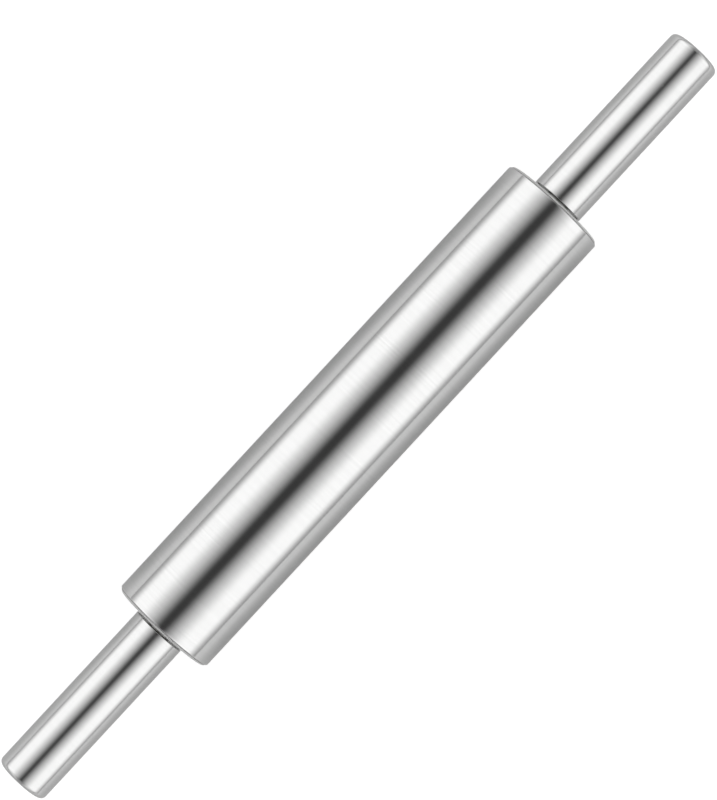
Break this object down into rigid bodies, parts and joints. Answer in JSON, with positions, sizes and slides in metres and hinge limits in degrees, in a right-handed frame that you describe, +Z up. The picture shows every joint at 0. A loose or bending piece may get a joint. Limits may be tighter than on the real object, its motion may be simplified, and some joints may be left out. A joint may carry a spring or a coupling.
{
  "type": "rolling pin",
  "caption": "Stainless steel rolling pin for dough: a hollow barrel turns on ball bearings round an axle that joins two slim tubular handles.",
  "frame": {"origin": "centre of the barrel, on the axis that the barrel turns about", "axes": "+X along the pin, towards the right handle; +Z up as the pin lies on a table"},
  "size_m": [0.434, 0.051, 0.051],
  "materials": {
    "satin_steel": "satin-polished stainless steel, with fine polish lines round the axis",
    "turned_steel": "lathe-turned stainless steel",
    "bearing_steel": "ground bearing steel, nearly a mirror",
    "pressed_steel": "pressed sheet steel, dull",
    "spring_steel": "spring steel, blackened and oiled"
  },
  "bodies": {
    "handles": {"axle_rod": "turned_steel", "left_bearing_inner_ring": "bearing_steel", "left_spacer_sleeve": "turned_steel", "left_handle_plug": "turned_steel", "left_handle_shell": "satin_steel", "right_bearing_inner_ring": "bearing_steel", "right_spacer_sleeve": "turned_steel", "right_handle_plug": "turned_steel", "right_handle_shell": "satin_steel"},
    "barrel": {"barrel_tube": "satin_steel", "left_end_cap": "satin_steel", "left_bearing_hub": "turned_steel", "left_hub_circlip": "spring_steel", "left_bearing_outer_ring": "bearing_steel", "left_bearing_inner_shield": "pressed_steel", "left_bearing_outer_shield": "pressed_steel", "right_end_cap": "satin_steel", "right_bearing_hub": "turned_steel", "right_hub_circlip": "spring_steel", "right_bearing_outer_ring": "bearing_steel", "right_bearing_inner_shield": "pressed_steel", "right_bearing_outer_shield": "pressed_steel"},
    "left_ball_set": {"left_bearing_cage": "pressed_steel", "left_bearing_ball_1": "bearing_steel", "left_bearing_ball_2": "bearing_steel", "left_bearing_ball_3": "bearing_steel", "left_bearing_ball_4": "bearing_steel", "left_bearing_ball_5": "bearing_steel", "left_bearing_ball_6": "bearing_steel", "left_bearing_ball_7": "bearing_steel"},
    "right_ball_set": {"right_bearing_cage": "pressed_steel", "right_bearing_ball_1": "bearing_steel", "right_bearing_ball_2": "bearing_steel", "right_bearing_ball_3": "bearing_steel", "right_bearing_ball_4": "bearing_steel", "right_bearing_ball_5": "bearing_steel", "right_bearing_ball_6": "bearing_steel", "right_bearing_ball_7": "bearing_steel"}
  },
  "joints": [
    {"name": "barrel_spin", "type": "hinge", "parent": "handles", "child": "barrel", "pos_m": [0, 0, 0], "axis": [1, 0, 0], "continuous": true},
    {"name": "left_ball_set_orbit", "type": "hinge", "parent": "handles", "child": "left_ball_set", "pos_m": [-0.1203, 0, 0], "axis": [1, 0, 0], "continuous": true},
    {"name": "right_ball_set_orbit", "type": "hinge", "parent": "handles", "child": "right_ball_set", "pos_m": [0.1203, 0, 0], "axis": [1, 0, 0], "continuous": true}
  ],
  "couplings": [
    {"joint": "left_ball_set_orbit", "follows": "barrel_spin", "ratio": 0.6323},
    {"joint": "right_ball_set_orbit", "follows": "barrel_spin", "ratio": 0.6323}
  ]
}
